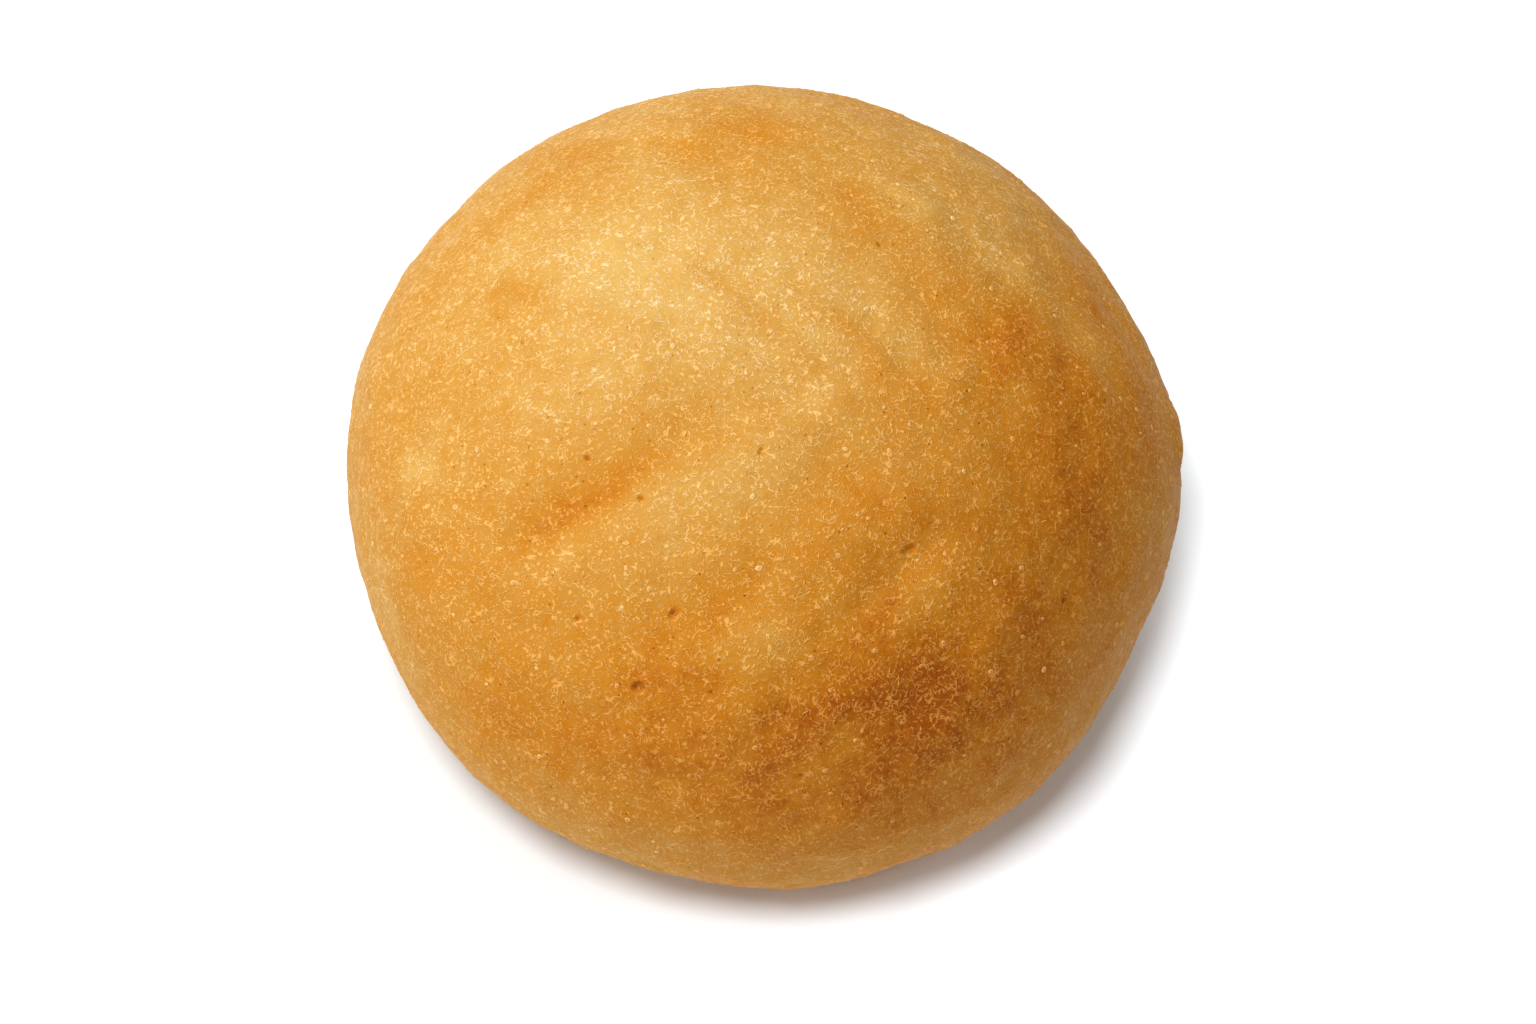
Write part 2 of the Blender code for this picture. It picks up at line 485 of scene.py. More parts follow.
PITS = (
    Pit((251.0, 37.3), 1.4 * MM, 1.15 * MM, 75, 0.6 * MM, 0.2 * MM, 14 * MM, 0.08),
    Pit((250.7, 39.8), 1.6 * MM, 1.2 * MM, 40, 0.22 * MM, 0.05 * MM, 0.0, 0.08),
    Pit((217.8, 62.1), 0.65 * MM, 0.55 * MM, 0, 0.45 * MM, 0.03 * MM, 7 * MM, 0.5),
    Pit((236.3, 62.9), 0.65 * MM, 0.55 * MM, 0, 0.45 * MM, 0.03 * MM, 7 * MM, 0.5),
    Pit((270.1, 73.8), 1.0 * MM, 0.65 * MM, 70, 0.36 * MM, 0.06 * MM),
    Pit((237.5, 43.2), 0.85 * MM, 0.6 * MM, 60, 0.4 * MM, 0.05 * MM),
    Pit((253.4, 49.8), 1.1 * MM, 0.75 * MM, 70, 0.42 * MM, 0.08 * MM),
    Pit((42.9, 69.7), 0.6 * MM, 0.5 * MM, 0, 0.36 * MM, 0.04 * MM, 7 * MM, 0.4),
    Pit((262.1, 39.5), 0.45 * MM, 0.45 * MM, 0, 0.26 * MM),
    Pit((302.6, 55.2), 1.4 * MM, 0.9 * MM, -12, 0.3 * MM, 0.14 * MM, 14 * MM, 0.1),
    Pit((298.7, 55.6), 0.9 * MM, 0.5 * MM, 20, 0.22 * MM, 0.08 * MM, 0.0, 0.1),
    Pit((322.1, 30.8), 0.8 * MM, 0.5 * MM, 30, 0.28 * MM, 0.06 * MM),
)

BAKE = Stroke.table(1.0, {
    # Partly paler crust, partly the lamps' sheen painted in as a paler colour.
    "pale crown and painted sheen": (151, 63, 191, 82, 14.9, -0.38),
    "pale band behind the crown": (124, 72, 68, 73, 9.5, -0.13),
    "pale streak by the first crease": (86, 77, 313, 76, 7.0, -0.18),
    "first crown crease": (130, 78, 318, 75, 2.3, 0.13),
    "second crown crease": (59, 83, 335, 65, 2.3, 0.12),
    "pale streak by the second crease": (40, 78, 349, 70, 5.4, -0.23),
    "third crown crease": (66, 63, 47, 68, 4.5, 0.16),
    "right shoulder": (8, 61, 355, 42, 10.6, 0.18, 1.2),
    "right blotch": (340, 53, 335, 30, 11.0, 0.25, 1.4),
    "pale upper right": (58, 59, 5, 40, 7.4, -0.15),
    "back ridge": (104, 56, 90, 53, 10.8, 0.24),
    "back left rim": (167, 34, 125, 46, 6.5, 0.14, -1.2),
    "crest over the left lobe": (163, 52, 164, 59, 4.0, 0.21),
    "pale left lobe": (200, 56, 203, 68, 9.9, -0.23),
    # Painted shade: browner at the foot of the left lobe, in the hollow under it.
    "foot of the left lobe": (221, 47, 234, 66, 3.0, 0.11),
    "pale left blister": (194, 33, 196, 39, 3.6, -0.20),
    # Painted shade in the hollow under the left lobe.
    "hollow under the left lobe": (220, 47, 233, 68, 3.8, 0.21),
    # The next three walls are partly paler crust and partly painted light, where they face the lamps.
    "wall below that hollow, pale crust and painted light": (240, 62, 272, 73, 8.8, -0.30),
    "front crease wall, pale crust and painted light": (266, 44, 272, 50, 5.6, -0.21),
    "right front wall, pale crust and painted light": (298, 46, 302, 51, 4.7, -0.23, -0.9),
    "right front": (286, 38, 296, 37, 13.1, 0.30, -0.9),
    "pale middle": (179, 83, 299, 74, 11.4, -0.11, 1.0),
    "left flank wrinkle": (203, 16, 216, 6, 6.6, -0.19),
    "round the largest pit": (247, 37, 258, 42, 5.2, 0.15),
    "back flank": (60, 25, 110, 20, 14.0, 0.10),
    "pale patch, high front left": (228, 48, 253, 56, 7.9, -0.15),
    # Partly paler crust, partly painted light thrown up from the white floor onto the foot.
    "pale streak, foot of the front": (257, 8, 278, -7, 7.5, -0.11),
    "brown streak, low front left": (255, 29, 230, 18, 10.0, 0.12),
    "brown streak, low front": (305, 27, 279, 19, 8.4, 0.16),
    "pale streak, mid back right": (50, 31, 15, 57, 8.9, -0.10),
    # Partly paler crust, partly painted light thrown up from the white floor onto the foot.
    "pale patch, foot of the front": (294, -1, 278, 2, 9.6, -0.14),
    "brown streak, mid right": (26, 34, 355, 29, 7.9, 0.14),
    "brown patch, low front": (270, 26, 269, 16, 7.3, 0.12),
    "pale patch, mid left": (174, 51, 173, 37, 9.3, -0.14, -0.9),
    "second brown streak, mid right": (19, 33, 10, 52, 7.4, 0.12),
    # Partly paler crust, partly painted light thrown up from the white floor onto the foot.
    "pale streak, foot of the front left": (235, 0, 259, -6, 9.0, -0.15),
    # Partly paler crust, partly painted light thrown up from the white floor onto the foot.
    "pale patch, foot of the front right": (322, 0, 313, 14, 8.3, -0.13),
    "pale patch, high back left": (146, 50, 156, 53, 7.9, -0.18),
    "brown patch, mid front right": (313, 41, 316, 33, 6.8, 0.12),
    "brown streak, mid back left": (125, 46, 127, 31, 5.7, 0.16),
    "brown streak, low back left": (132, 31, 163, 26, 8.4, 0.11),
    "brown streak, high front right": (292, 66, 325, 43, 3.9, 0.09),
    "brown streak on the crown": (169, 62, 191, 80, 3.3, 0.15),
    "brown patch, mid back": (99, 37, 95, 48, 7.8, 0.12),
    "brown patch, mid front": (273, 39, 274, 30, 6.1, 0.13),
    "pale streak, low right": (339, 31, 349, 10, 4.5, -0.13),
    "brown patch, low front right": (306, 11, 301, 15, 7.1, 0.10),
    "pale streak, high back left": (117, 51, 117, 63, 3.2, -0.09),
    "pale streak, mid back left": (126, 31, 93, 59, 2.5, -0.08),
    "pale patch, high front right": (310, 71, 313, 64, 4.1, -0.08),
    "second pale streak, high back left": (124, 56, 110, 65, 4.1, -0.07),
    "second pale streak, mid back right": (55, 38, 34, 30, 3.9, -0.08),
    # The last eight patches are painted shade and painted light. They darken hollows, creases and the edges of
    # the brownest patch where the relief's shade falls, and pale one wall that faces the lamps.
    "painted shade in the hollow by the low front crease": (265, 21, 281, 38, 3.5, 0.08),
    "painted shade, lower edge of the brownest patch": (292, 31, 299, 33, 4.5, 0.14),
    "painted shade left of the brownest patch": (276, 35, 282, 38, 4.0, 0.06),
    "painted shade in the hollow over the brownest patch": (289, 47, 304, 52, 3.0, 0.09),
    "painted shade, foot of the left lobe, right end": (235, 66, 267, 75, 3.0, 0.08),
    "painted shade in the right shoulder crease": (14, 53, 344, 60, 3.2, 0.15),
    "painted light on the wall under the front crease": (274, 46, 286, 54, 3.2, -0.08),
    "painted shade streak on the middle front": (258, 47, 264, 56, 3.0, 0.08),
})


def cube_sphere(cells: int) -> tuple[Array, Array]:
    """Wraps the six faces of a cube over the unit sphere, each face a square grid.

    A face's grid point (u, v) goes to the direction of (tan of 45 u, tan of 45 v, 1), turned to that face.

    Args:
        cells: Cells along each side of a face.

    Returns:
        Unit directions, and four vertex numbers a face, turning outwards. Shared edges are merged.
    """
    spread = np.tan(np.radians(45) * np.linspace(-1, 1, cells + 1))
    u, v = (grid.ravel() for grid in np.meshgrid(spread, spread, indexing="ij"))
    number = np.arange((cells + 1) ** 2).reshape(cells + 1, cells + 1)
    quads = np.stack([number[:-1, :-1], number[1:, :-1], number[1:, 1:], number[:-1, 1:]], axis=-1)
    quads = quads.reshape(-1, 4)
    points, faces = [], []
    for side in range(6):
        facing = 1.0 if side < 3 else -1.0
        points.append(np.roll(np.stack([u, v, np.full_like(u, facing)], axis=1), side % 3, axis=1))
        faces.append((quads if side < 3 else quads[:, ::-1]) + side * number.size)
    _, first, merged = np.unique(
        np.round(np.concatenate(points), 7), axis=0, return_index=True, return_inverse=True
    )
    return unit(np.concatenate(points)[first]), merged.reshape(-1)[np.concatenate(faces)]


CROWN_RISE = 0.9  # z on the unit sphere, above which +Z is too close to the normal to steer by


@dataclass(frozen=True)
class Crust:
    """The whole crust, and the way anything lies on it."""

    form: LoafForm = field(default_factory=LoafForm)
    cells: int = 128
    inset: float = 0.45 * MM  # so that the finer relief stays within the solid's box
    wrinkles: Bands = ((15 * MM, 0.13 * MM), (9 * MM, 0.07 * MM), (5.5 * MM, 0.03 * MM))
    wrinkle_seed: int = 70
    gather_squeeze: float = 0.3  # the size of the cells drawn together round a pit, as a share
    slope_step: float = 0.3 * MM  # the step that slopes are taken over
    tray_gap: float = 0.5 * MM  # how far the underside lifts where the dough missed the tray
    tray_gap_width: float = 11 * MM
    tray_gap_level: float = 0.6  # what the noise has to pass for a gap to start
    tray_gap_reach: float = 10 * MM  # the height by which the gaps have faded out
    tray_gap_seed: int = 90
    bake_level: float = 0.505
    bake_trend: Triple = (0.130, -0.244, 0.003)  # along x, y and z of the unit sphere
    bake_bands: Bands = ((34 * MM, 0.03), (12 * MM, 0.012), (6 * MM, 0.016))
    bake_seed: int = 50
    # The foot's pallor is partly the crust's own paler foot, partly painted light thrown up from the white floor.
    foot_top: float = 0.28  # z on the unit sphere, below which the foot grows paler
    foot_height: float = 0.55  # the z over which it does
    foot_pallor_and_floor_bounce: float = 0.28  # how much paler for each unit of z
    tray_level: float = 0.62
    tray_bands: Bands = ((17 * MM, 0.09), (7 * MM, 0.05))
    tray_reach: float = 6 * MM  # the height by which the tray's browning has faded out
    tray_seed: int = 60

    def gathered(self, directions: Array) -> Array:
        """Draws the grid together round each pit, so that the mesh there is fine enough to shape it.

        A direction at a distance d from a pit, as a share of its reach, moves to d times
        (squeeze + (1 - squeeze) times the smooth step of 2 d - 1).

        Args:
            directions: Unit directions, one a row.

        Returns:
            The moved directions.
        """
        for pit in (pit for pit in PITS if pit.gather):
            centre = on_unit_sphere(pit.place)
            offset = directions - centre
            share = np.linalg.norm(offset, axis=1, keepdims=True) * self.form.mean_radius / pit.gather
            pull = self.gather_squeeze + (1 - self.gather_squeeze) * smooth_step(2 * share - 1)
            directions = np.where(share < 1, unit(centre + offset * pull), directions)
        return directions

    def lay(self, directions: Array) -> Array:
        """Puts unit directions onto the crust: the form, with wrinkles, pits and the base's hollows.

        Args:
            directions: Unit directions, one a row.

        Returns:
            A point for each direction.
        """
        radius = self.form.mean_radius
        rough = directions * radius
        relief = with_bands(-self.inset, rough, self.wrinkles, self.wrinkle_seed)
        for pit in PITS:
            relief += pit.relief(directions, radius)
        points = self.form.skin(directions, relief)
        gap = wave_noise(rough, self.tray_gap_width, self.tray_gap_seed) - self.tray_gap_level
        missed = smooth_step(gap) * (directions[:, 2] < 0)
        near_base = smooth_step(1 - points[:, 2] / self.tray_gap_reach)
        points[:, 2] += self.tray_gap * missed * near_base
        return points

    def frames(self, directions: Array) -> tuple[Array, Array, Array, Array]:
        """Finds how the crust runs at each direction, by small steps to two sides.

        Args:
            directions: Unit directions, one a row.

        Returns:
            The points; the surface steps of a unit step to each of two sides, as two columns; those
            two sides on the unit sphere; and the outward normals.
        """
        step = self.slope_step / self.form.mean_radius
        upright = np.abs(directions[:, 2:]) > CROWN_RISE
        lead = np.where(upright, [[1.0, 0.0, 0.0]], [[0.0, 0.0, 1.0]])
        first = unit(np.cross(lead, directions))
        second = np.cross(directions, first)
        sides = np.stack([first, second], axis=-1)
        points = self.lay(directions)
        slopes = [(self.lay(unit(directions + step * side)) - points) / step for side in (first, second)]
        slopes = np.stack(slopes, axis=-1)
        return points, slopes, sides, unit(np.cross(slopes[..., 0], slopes[..., 1]))

    def browning(self, directions: Array, points: Array) -> Array:
        """Says how browned the crust is, from 0 for the palest to 1 for the darkest.

        It is a level plus a trend across the loaf, less a pale band round the foot, plus named patches,
        pits that are browner inside and bands of soft noise. The foot's pale band is partly the crust's own
        paler foot and partly painted light thrown up from the white floor. Some named patches are painted
        shade and some painted light, as their comments say. The underside takes its own level from the tray.

        Args:
            directions: Unit directions, one a row.
            points: The crust's point in each direction.

        Returns:
            The browning of each direction.
        """
        z, radius = directions[:, 2], self.form.mean_radius
        brown = self.bake_level + directions @ np.array(self.bake_trend)
        # Paler towards the foot: partly its own colour, partly painted floor bounce.
        brown -= self.foot_pallor_and_floor_bounce * np.clip(self.foot_top - z, 0, self.foot_height)
        for patch in BAKE.values():
            brown += patch.at(directions, radius)
        for pit in PITS:
            brown += pit.inside_browning * bowl(pit.distance(directions, radius))
        brown = with_bands(brown, points, self.bake_bands, self.bake_seed)
        tray = with_bands(self.tray_level, points, self.tray_bands, self.tray_seed)
        on_tray = smooth_step(1 - points[:, 2] / self.tray_reach) * (z < 0)
        return np.clip(brown * (1 - on_tray) + tray * on_tray, 0, 1)

    def build(self, finish: bpy.types.Material) -> bpy.types.Object:
        """Makes the crust's mesh.

        Args:
            finish: The baked crust's material.

        Returns:
            The crust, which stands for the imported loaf.
        """
        directions, quads = cube_sphere(self.cells)
        directions = self.gathered(directions)
        points = self.lay(directions)
        browning = self.browning(directions, points)
        values = {Attribute.BROWNING: browning, Attribute.PALLOR: np.zeros(len(points))}
        return make_piece("crust", points, quads, values, finish)


TRIES = 6  # places tried for each one wanted
DRIFT_WIDTH, DRIFT_CONTRAST = 26 * MM, 0.6


@dataclass(frozen=True)
class Strewn:
    """Small shapes of one kind, strewn over the crust and made as one mesh."""

    crust: Crust
    name: str
    count: int
    seed: int
    lowest_climb: float  # degrees
    thinning: float  # how much sparser they are between the drifts, from 0 for an even spread to 1
    sunk: float  # how far their undersides are below the crust
    pallor: Pair  # its mean and spread
    pallor_limits: Pair

    def shape(self) -> tuple[Array, Array]:
        """Gives one shape's m vertices, as rows of shares of its sizes, and its triangles."""
        raise NotImplementedError

    def draw(self, random: np.random.Generator, rows: Array, size: tuple[int, int]) -> tuple[Array, Array, Array]:
        """Draws the shapes' sizes and turns.

        Args:
            random: Where every draw comes from.
            rows: What shape() gives for a vertex, one kind of share a row.
            size: The size of a draw of one number for each of the n shapes.

        Returns:
            The n by m outline points, each as two distances along the surface; the n by m heights over
            the crust; and each vertex's share of its shape's pallor.
        """
        raise NotImplementedError

    def places(self) -> Array:
        """Picks unit directions evenly over the crust's real area, in uneven drifts."""
        random = np.random.default_rng(self.seed)
        tries = unit(random.normal(size=(TRIES * self.count, 3)))
        tries = tries[tries[:, 2] > math.sin(math.radians(self.lowest_climb))]
        points, slopes, _, _ = self.crust.frames(tries)
        area = np.linalg.norm(np.cross(slopes[..., 0], slopes[..., 1]), axis=1)
        gaps = smooth_step(0.5 + DRIFT_CONTRAST * wave_noise(points, DRIFT_WIDTH, self.seed + 1))
        chance = area / area.max() * (1 - self.thinning * gaps)
        return tries[random.uniform(size=len(tries)) < chance][: self.count]

    def build(self, finish: bpy.types.Material) -> bpy.types.Object:
        """Makes them all as one mesh, at their true size.

        Each outline point's step along the surface is turned into a step on the unit sphere by solving
        the two-by-two slopes there. The point is then laid on the crust and lifted along the normal.

        Args:
            finish: The baked crust's material.

        Returns:
            The piece.
        """
        directions = self.places()
        random = np.random.default_rng(self.seed + 7)
        count = len(directions)
        rows, faces = self.shape()
        plan, height, pale = self.draw(random, rows.T, (count, 1))
        pallor = np.clip(random.normal(*self.pallor, (count, 1)), *self.pallor_limits) * pale

        _, slopes, sides, normals = self.crust.frames(directions)
        first = unit(slopes[..., 0])
        second = np.cross(normals, first)
        wanted = plan[..., :1] * first[:, None] + plan[..., 1:] * second[:, None]
        across = np.einsum("nki,nkj->nij", slopes, slopes)
        steps = np.linalg.solve(across[:, None], np.einsum("nki,nmk->nmi", slopes, wanted)[..., None])[..., 0]
        moved = unit(directions[:, None] + np.einsum("nki,nmi->nmk", sides, steps)).reshape(-1, 3)
        points = self.crust.lay(moved) + (normals[:, None] * height[..., None]).reshape(-1, 3)
        all_faces = (faces[None] + len(rows) * np.arange(count)[:, None, None]).reshape(-1, 3)
        values = {Attribute.BROWNING: self.crust.browning(moved, points), Attribute.PALLOR: pallor.ravel()}
        return make_piece(self.name, points, all_faces, values, finish)


@dataclass(frozen=True)
class SkinFlecks(Strewn):
    """Curled flecks of dried skin, each a low ridge pinched to a point at both ends."""

    name: str = "skin_flecks"
    count: int = 10500
    seed: int = 301
    lowest_climb: float = -48.0
    thinning: float = 0.45
    sunk: float = 0.06 * MM
    pallor: Pair = (0.8, 0.35)
    pallor_limits: Pair = (0.2, 1.8)
    edge_pallor: float = 0.25  # the pallor along its sides, as a share of its ridge's
    shortest: float = 0.7 * MM
    longest: float = 2.6 * MM
    length_shape: Pair = (1.3, 3.0)  # of the beta distribution between those two
    half_width: float = 0.15 * MM
    height: float = 0.09 * MM
    sizes: Pair = (0.7, 1.2)  # the least and most share of that width and height
    bend: float = 0.35  # how far a fleck bows, as a share of its half length

    def shape(self) -> tuple[Array, Array]:
        """Gives one fleck's eleven rows of (along, across, raised), and its 18 triangles."""
        rows = [(-1.0, 0.0, 0.0)]
        for along, wide in ((-0.5, 0.85), (0.0, 1.0), (0.5, 0.85)):
            rows += [(along, -wide, 0.0), (along, 0.0, 1.0), (along, wide, 0.0)]
        rows.append((1.0, 0.0, 0.0))
        faces = [(0, 1, 2), (0, 2, 3), (0, 3, 1), (10, 8, 7), (10, 9, 8), (10, 7, 9)]
        for k in (1, 4):
            for a, b in ((0, 1), (1, 2), (2, 0)):
                faces += [(k + a, k + a + 3, k + b), (k + b, k + a + 3, k + b + 3)]
        return np.array(rows), np.array(faces)

    def draw(self, random: np.random.Generator, rows: Array, size: tuple[int, int]) -> tuple[Array, Array, Array]:
        """Draws the flecks' lengths, sizes, bows and headings, as Strewn says."""
        along, across, raised = rows
        longer = random.beta(*self.length_shape, size)
        half_length = 0.5 * self.shortest + 0.5 * (self.longest - self.shortest) * longer
        share = random.uniform(*self.sizes, size)
        bow = self.bend * random.normal(size=size) * half_length * (1 - along**2)
        flat = np.stack([half_length * along, across * self.half_width * share + bow], axis=-1)
        heading = random.uniform(0, math.pi, size[0])
        turn = np.stack([np.cos(heading), -np.sin(heading), np.sin(heading), np.cos(heading)], axis=1)
        plan = np.einsum("nij,nmj->nmi", turn.reshape(-1, 2, 2), flat)
        height = raised * share * self.height - (1 - raised) * self.sunk
        return plan, height, self.edge_pallor + (1 - self.edge_pallor) * raised


@dataclass(frozen=True)
class Blisters(Strewn):
    """Small bubbles under the skin: low round domes, palest round their rims."""

    name: str = "blisters"
    count: int = 750
    seed: int = 411
    lowest_climb: float = -45.0
    thinning: float = 0.7
    sunk: float = 0.06 * MM
    pallor: Pair = (1.4, 0.3)
    pallor_limits: Pair = (0.5, 2.0)
    smallest: float = 0.28 * MM
    largest: float = 0.75 * MM
    radius_shape: Pair = (1.2, 2.6)  # of the beta distribution between those two
    oval: float = 0.18  # how far its outline is out of round, as a share of the radius
    steepness: float = 0.28  # height as a share of the radius
    sides: int = 8
    # The radius, the height and the pallor of each ring, and the last two of the top, as shares.
    rings: tuple[Triple, ...] = ((1.0, 0.0, 0.35), (0.78, 0.7, 1.0), (0.38, 0.95, 0.45))
    top: Pair = (0.85, 0.3)

    def shape(self) -> tuple[Array, Array]:
        """Gives rows of (radius, turn, raised, pallor), and the triangles of a closed, flat-bottomed dome."""
        turns = np.arange(self.sides) * 2 * math.pi / self.sides
        rows = [(radius, turn, raised, pale) for radius, raised, pale in self.rings for turn in turns]
        top, bottom = len(rows), len(rows) + 1
        raised, pale = self.top
        rows += [(0.0, 0.0, raised, pale), (0.0, 0.0, 0.0, pale)]
        here = np.arange(self.sides)
        on = (here + 1) % self.sides
        faces = []
        for ring in range(len(self.rings) - 1):
            a, b = here + ring * self.sides, on + ring * self.sides
            faces += [np.stack([a, b, b + self.sides], 1), np.stack([a, b + self.sides, a + self.sides], 1)]
        inner = top - self.sides
        faces += [np.stack([here + inner, on + inner, np.full(self.sides, top)], 1)]
        faces += [np.stack([on, here, np.full(self.sides, bottom)], 1)]
        return np.array(rows), np.concatenate(faces)

    def draw(self, random: np.random.Generator, rows: Array, size: tuple[int, int]) -> tuple[Array, Array, Array]:
        """Draws the blisters' radii and outlines, as Strewn says."""
        share, turn, raised, pale = rows
        larger = random.beta(*self.radius_shape, size)
        radius = self.smallest + (self.largest - self.smallest) * larger
        uneven = 1 + self.oval * np.cos(2 * turn + random.uniform(0, 2 * math.pi, size))
        reach = radius * share * uneven
        plan = np.stack([reach * np.cos(turn), reach * np.sin(turn)], axis=-1)
        return plan, raised * self.steepness * radius - (raised == 0) * self.sunk, pale


# ---------------- finishes


@dataclass(frozen=True)
class Noise:
    """A noise texture."""

    size: float
    detail: float
    roughness: float = 0.5

    def build(self, tree: Tree, where: Socket) -> Socket:
        """Adds the texture, and gives its value, which is 0.5 in the mean."""
        inputs = {"Vector": where, "Scale": 1 / self.size, "Detail": self.detail, "Roughness": self.roughness}
        return add(tree, "ShaderNodeTexNoise", inputs).outputs["Fac"]


@dataclass(frozen=True)
class Threads:
    """Short curled threads: the lines on which a smooth noise takes its middle value, cut into bits."""

    size: float  # the noise's grain; a thread curls about half as tightly
    half_width: float  # how far from its middle value the noise may be on a thread
    cover: float  # the level that a second noise must pass for a thread to show
    cover_edge: float = 0.05
    patch_scale: float = 0.83  # the first noise's size, as a share of the second's

    def build(self, tree: Tree, where: Socket) -> Socket:
        """Draws the threads.

        Args:
            tree: The material's nodes.
            where: The coordinates.

        Returns:
            A socket that gives 1 along the middle of a thread and 0 away from it.
        """
        curl = Noise(self.size, 0.5).build(tree, where)
        apart = maths(tree, "ABSOLUTE", maths(tree, "SUBTRACT", curl, 0.5))
        line = eased(tree, apart, self.half_width, 0.0)
        patch = Noise(self.size / self.patch_scale, 0.0).build(tree, where)
        shown = eased(tree, patch, self.cover, self.cover + self.cover_edge)
        return maths(tree, "MULTIPLY", line, shown)


@dataclass(frozen=True)
class BakedCrust:
    """White bread crust: starch and flour dried and browned in the oven, matt, with no glaze.

    A bake is the browning that a pattern adds where it is 1, and a height is how far it stands there.
    """

    shades: Shades = (
        (0.00, "#bd964c"),
        (0.25, "#b7883b"),
        (0.45, "#b17b2b"),
        (0.65, "#b17116"),
        (0.82, "#aa6408"),
        (1.00, "#914602"),
    )
    pale_shades: Shades = ((0.00, "#dfc294"), (0.45, "#d6a357"), (0.85, "#cd8a3a"))
    driest: str = "#e0be8c"  # the skin whose pallor is 2
    mottle: Noise = Noise(3.5 * MM, 3.0, 0.6)
    mottle_bake: float = 0.38
    grain: Noise = Noise(0.8 * MM, 2.0, 0.6)
    grain_bake: float = 0.34
    grain_height: float = 0.08 * MM
    wrinkle: Noise = Noise(2.4 * MM, 3.0, 0.55)
    wrinkle_height: float = 0.16 * MM
    pore_spacing: float = 2.6 * MM
    pore_radii: Pair = (0.05, 0.11)  # of the whole dark and of the edge, by the spacing
    pore_bake: float = 0.35
    pore_height: float = -0.12 * MM
    threads: tuple[Threads, ...] = (
        Threads(0.62 * MM, 0.09775, 0.53),
        Threads(1.0 * MM, 0.069, 0.54),
        Threads(1.75 * MM, 0.046, 0.55),
    )
    thread_pallor: float = 0.88
    thread_height: float = 0.09 * MM
    roughness: Pair = (0.56, 0.74)
    roughness_from: Pair = (0.3, 0.7)  # the mottle at which each of those is reached
    specular_level: float = 0.12
    ior: float = 1.45

    def build(self) -> bpy.types.Material:
        """Makes the crust's material.

        Browning picks the shade, and mottles, grain, pores and threads vary it. Roughness and bump come
        from the same patterns, so a thread is both paler and raised.

        Returns:
            The material.
        """
        material = bpy.data.materials.new("baked_bread_crust")
        material.use_nodes = True
        tree = material.node_tree
        tree.nodes.clear()
        where = add(tree, "ShaderNodeTexCoord", {}).outputs["Object"]
        browning, pallor = (
            add(tree, "ShaderNodeAttribute", {}, attribute_name=carried.value).outputs["Fac"]
            for carried in (Attribute.BROWNING, Attribute.PALLOR)
        )
        mottle, grain, wrinkle = (
            noise.build(tree, where) for noise in (self.mottle, self.grain, self.wrinkle)
        )

        # Pores: dark pricks up to 0.5 mm wide, where evenly strewn points come near the surface.
        pore = add(tree, "ShaderNodeTexVoronoi", {"Vector": where, "Scale": 1 / self.pore_spacing})
        dark, edge = self.pore_radii
        prick = eased(tree, pore.outputs["Distance"], edge, dark)

        # Curled threads of dried skin, in three sizes, drawn a little wider than life so that they show.
        ridge = 0.0
        for threads in self.threads:
            ridge = maths(tree, "MAXIMUM", threads.build(tree, where), ridge)

        # Mottle and grain shift the browning either way: half of what they can add is taken off again.
        level = browning
        for pattern, bake in ((mottle, self.mottle_bake), (grain, self.grain_bake), (prick, self.pore_bake)):
            level = maths(tree, "MULTIPLY_ADD", pattern, bake, level)
        level = maths(tree, "SUBTRACT", level, (self.mottle_bake + self.grain_bake) / 2)

        # Pallor up to 1 goes from the shade to its pale one, and from 1 to 2 on to the driest.
        paleness = maths(tree, "MULTIPLY_ADD", ridge, self.thread_pallor, pallor, clamp=True)
        dryness = maths(tree, "SUBTRACT", pallor, 1.0, clamp=True)
        colour = blended(tree, paleness, ramp(tree, level, self.shades), ramp(tree, level, self.pale_shades))
        colour = blended(tree, dryness, colour, linear(self.driest))

        spans = dict(zip(("From Min", "From Max", "To Min", "To Max"), self.roughness_from + self.roughness))
        roughness = add(tree, "ShaderNodeMapRange", {"Value": mottle, **spans})
        height = 0.0
        for pattern, stands in (
            (wrinkle, self.wrinkle_height),
            (grain, self.grain_height),
            (ridge, self.thread_height),
            (prick, self.pore_height),
        ):
            height = maths(tree, "MULTIPLY_ADD", pattern, stands, height)
        bump = add(tree, "ShaderNodeBump", {"Height": height, "Distance": 1.0, "Strength": 1.0})
        shader = add(
            tree,
            "ShaderNodeBsdfPrincipled",
            {
                "Base Color": colour,
                "Roughness": roughness.outputs[0],
                "Specular IOR Level": self.specular_level,
                "IOR": self.ior,
                "Normal": bump.outputs[0],
            },
        )
        add(tree, "ShaderNodeOutputMaterial", {"Surface": shader.outputs[0]})
        return material


@dataclass(frozen=True)
class SweepPaper:
    """White background paper: uncoated, matt, and almost as white as it can be."""

    colour: str = "#f6f6f5"
    roughness: float = 0.9
    specular_level: float = 0.2

    def build(self) -> bpy.types.Material:
        """Makes the paper's material.

        Returns:
            The material.
        """
        material = bpy.data.materials.new("white_background_paper")
        material.use_nodes = True
        shader = material.node_tree.nodes["Principled BSDF"]
        shader.inputs["Base Color"].default_value = linear(self.colour)
        shader.inputs["Roughness"].default_value = self.roughness
        shader.inputs["Specular IOR Level"].default_value = self.specular_level
        return material


# ---------------- the studio


COOL_WHITE = "#f3f9ff"  # makes up for the warm light that the loaf throws back on the floor


class Lit(Enum):
    """What a light falls on, as flags on its stand would leave it."""

    LOAF = "lit_loaf"
    FLOOR = "lit_floor"


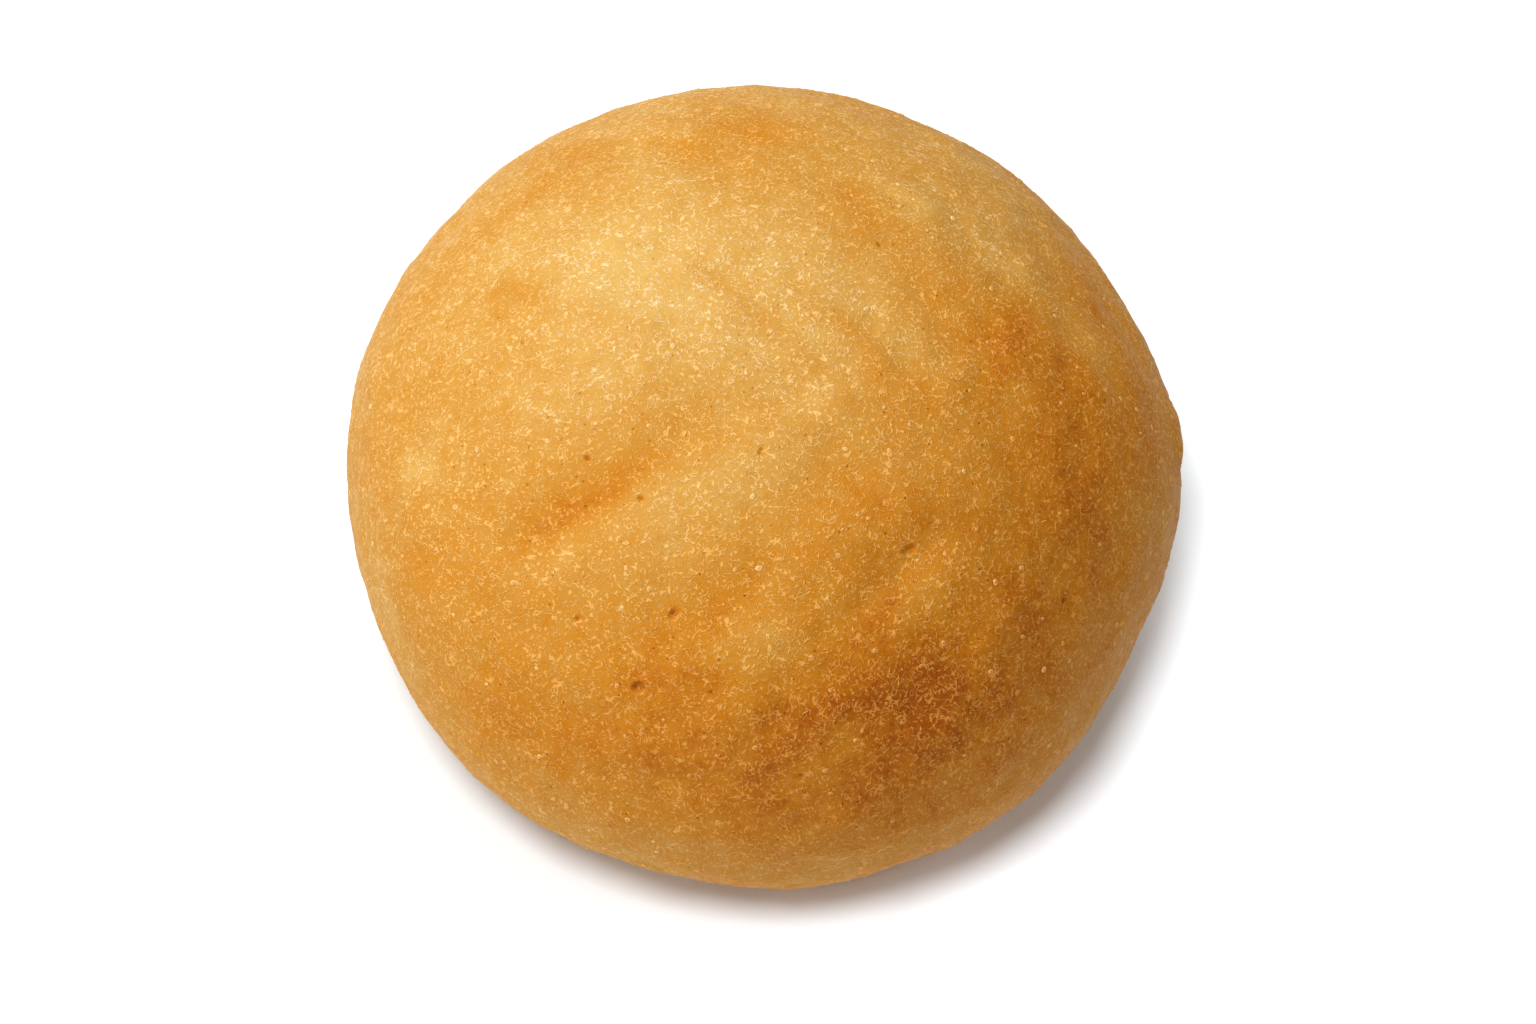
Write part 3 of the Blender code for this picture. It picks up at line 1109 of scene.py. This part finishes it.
def face(name: str, data: bpy.types.ID, aim: Vector, away: Vector, distance: float) -> bpy.types.Object:
    """Puts a camera or a light in the scene, facing a point.

    Args:
        name: The object's name.
        data: The camera or the light.
        aim: The point that it faces.
        away: The unit direction that it stands in from there.
        distance: How far away it stands.

    Returns:
        The object.
    """
    placed = bpy.data.objects.new(name, data)
    placed.location = aim + away * distance
    placed.rotation_mode = "QUATERNION"
    placed.rotation_quaternion = (-away).to_track_quat("-Z", "Y")
    bpy.context.scene.collection.objects.link(placed)
    return placed


@dataclass(frozen=True)
class Softbox:
    """A round soft light that faces the loaf."""

    name: str
    azimuth: float
    elevation: float
    size: float
    power: float
    lit: Lit
    colour: str = "#ffffff"
    distance: float = 1.2

    def build(self, aim: Vector, receivers: bpy.types.Collection) -> None:
        """Places the light at its distance from the aim point, facing it.

        Args:
            aim: The point that it faces.
            receivers: The pieces that it falls on.
        """
        data = bpy.data.lights.new(self.name, "AREA")
        data.shape, data.size, data.energy = "DISK", self.size, self.power
        data.color = linear(self.colour)[:3]
        away = Vector(on_unit_sphere((self.azimuth, self.elevation)))
        light = face(self.name, data, aim, away, self.distance)
        light.light_linking.receiver_collection = receivers


@dataclass(frozen=True)
class Studio:
    """A sheet of white floor, soft lights all round, and a camera that looks down on the loaf."""

    aim: Triple = (1.09 * MM, -5.86 * MM, 33.0 * MM)
    camera_distance: float = 722 * MM
    camera_elevation: float = 60.0
    lens: float = 85.0
    floor_size: float = 1.0
    floor_gap: float = 0.05 * MM  # between the floor and the loaf's base
    surround: float = 1.0  # the brightness of the white surround, which lights nothing
    light_aim: Triple = (0.0, 0.0, 40 * MM)
    lights: tuple[Softbox, ...] = (
        Softbox("left", 180, 40, 0.8, 13.2, Lit.LOAF),
        Softbox("back_left", 110, 40, 0.8, 5.3, Lit.LOAF),
        Softbox("over_back", 90, 70, 0.8, 7.3, Lit.LOAF),
        Softbox("over_right", 0, 70, 0.8, 5.9, Lit.LOAF),
        Softbox("low_left", 225, 15, 0.8, 3.5, Lit.LOAF),
        Softbox("low_front", 270, 10, 0.8, 3.5, Lit.LOAF),
        Softbox("floor_key", 248, 72, 0.3, 12.6, Lit.FLOOR, COOL_WHITE),
        Softbox("floor_over", 90, 80, 1.0, 3.0, Lit.FLOOR, COOL_WHITE),
        Softbox("floor_left", 220, 50, 0.5, 3.6, Lit.FLOOR, COOL_WHITE),
        Softbox("floor_right", 345, 50, 0.5, 3.4, Lit.FLOOR, COOL_WHITE),
        Softbox("floor_back", 85, 45, 0.8, 6.4, Lit.FLOOR, COOL_WHITE),
    )

    def build_floor(self, finish: bpy.types.Material) -> bpy.types.Object:
        """Makes the floor, just under the loaf's base."""
        half = self.floor_size / 2
        outline = ((-half, -half), (half, -half), (half, half), (-half, half))
        points = np.array([(x, y, -self.floor_gap) for x, y in outline])
        floor = make_piece("floor", points, np.array([[0, 1, 2, 3]]), {}, finish)
        return floor

    def build_camera(self) -> None:
        """Places the camera and makes it the scene's."""
        tilt = math.radians(self.camera_elevation)
        away = Vector((0, -math.cos(tilt), math.sin(tilt)))
        data = bpy.data.cameras.new("camera")
        data.lens = self.lens
        bpy.context.scene.camera = face("camera", data, Vector(self.aim), away, self.camera_distance)

    def build_world(self) -> None:
        """Makes a white surround that is seen but lights nothing."""
        world = bpy.data.worlds.new("white_surround")
        world.use_nodes = True
        background = world.node_tree.nodes["Background"]
        background.inputs["Color"].default_value = (1.0, 1.0, 1.0, 1.0)
        background.inputs["Strength"].default_value = self.surround
        world.cycles_visibility.diffuse = world.cycles_visibility.glossy = False
        bpy.context.scene.world = world

    def build(self, pieces: list[bpy.types.Object]) -> None:
        """Sets up the floor, the camera, the lights and the surround.

        Args:
            pieces: The loaf's pieces.
        """
        receivers = {Lit.LOAF: pieces, Lit.FLOOR: [self.build_floor(SweepPaper().build())]}
        self.build_camera()
        collections = {lit: bpy.data.collections.new(lit.value) for lit in receivers}
        for lit, lit_pieces in receivers.items():
            for piece in lit_pieces:
                collections[lit].objects.link(piece)
        for light in self.lights:
            light.build(Vector(self.light_aim), collections[light.lit])
        self.build_world()
        bpy.context.scene.view_settings.view_transform = "Standard"


# ---------------- putting it together


def main() -> None:
    """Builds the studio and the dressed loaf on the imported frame."""
    logging.basicConfig(level=logging.INFO, format="%(name)s: %(message)s")
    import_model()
    finish = BakedCrust().build()
    crust = Crust()
    skin = crust.build(finish)
    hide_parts("loaf")
    pieces = [skin, SkinFlecks(crust).build(finish), Blisters(crust).build(finish)]
    for piece in pieces:
        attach(piece, "root")
        LOG.info("%s: %d faces", piece.name, len(piece.data.polygons))
    Studio().build(pieces)


if __name__ == "__main__":
    main()
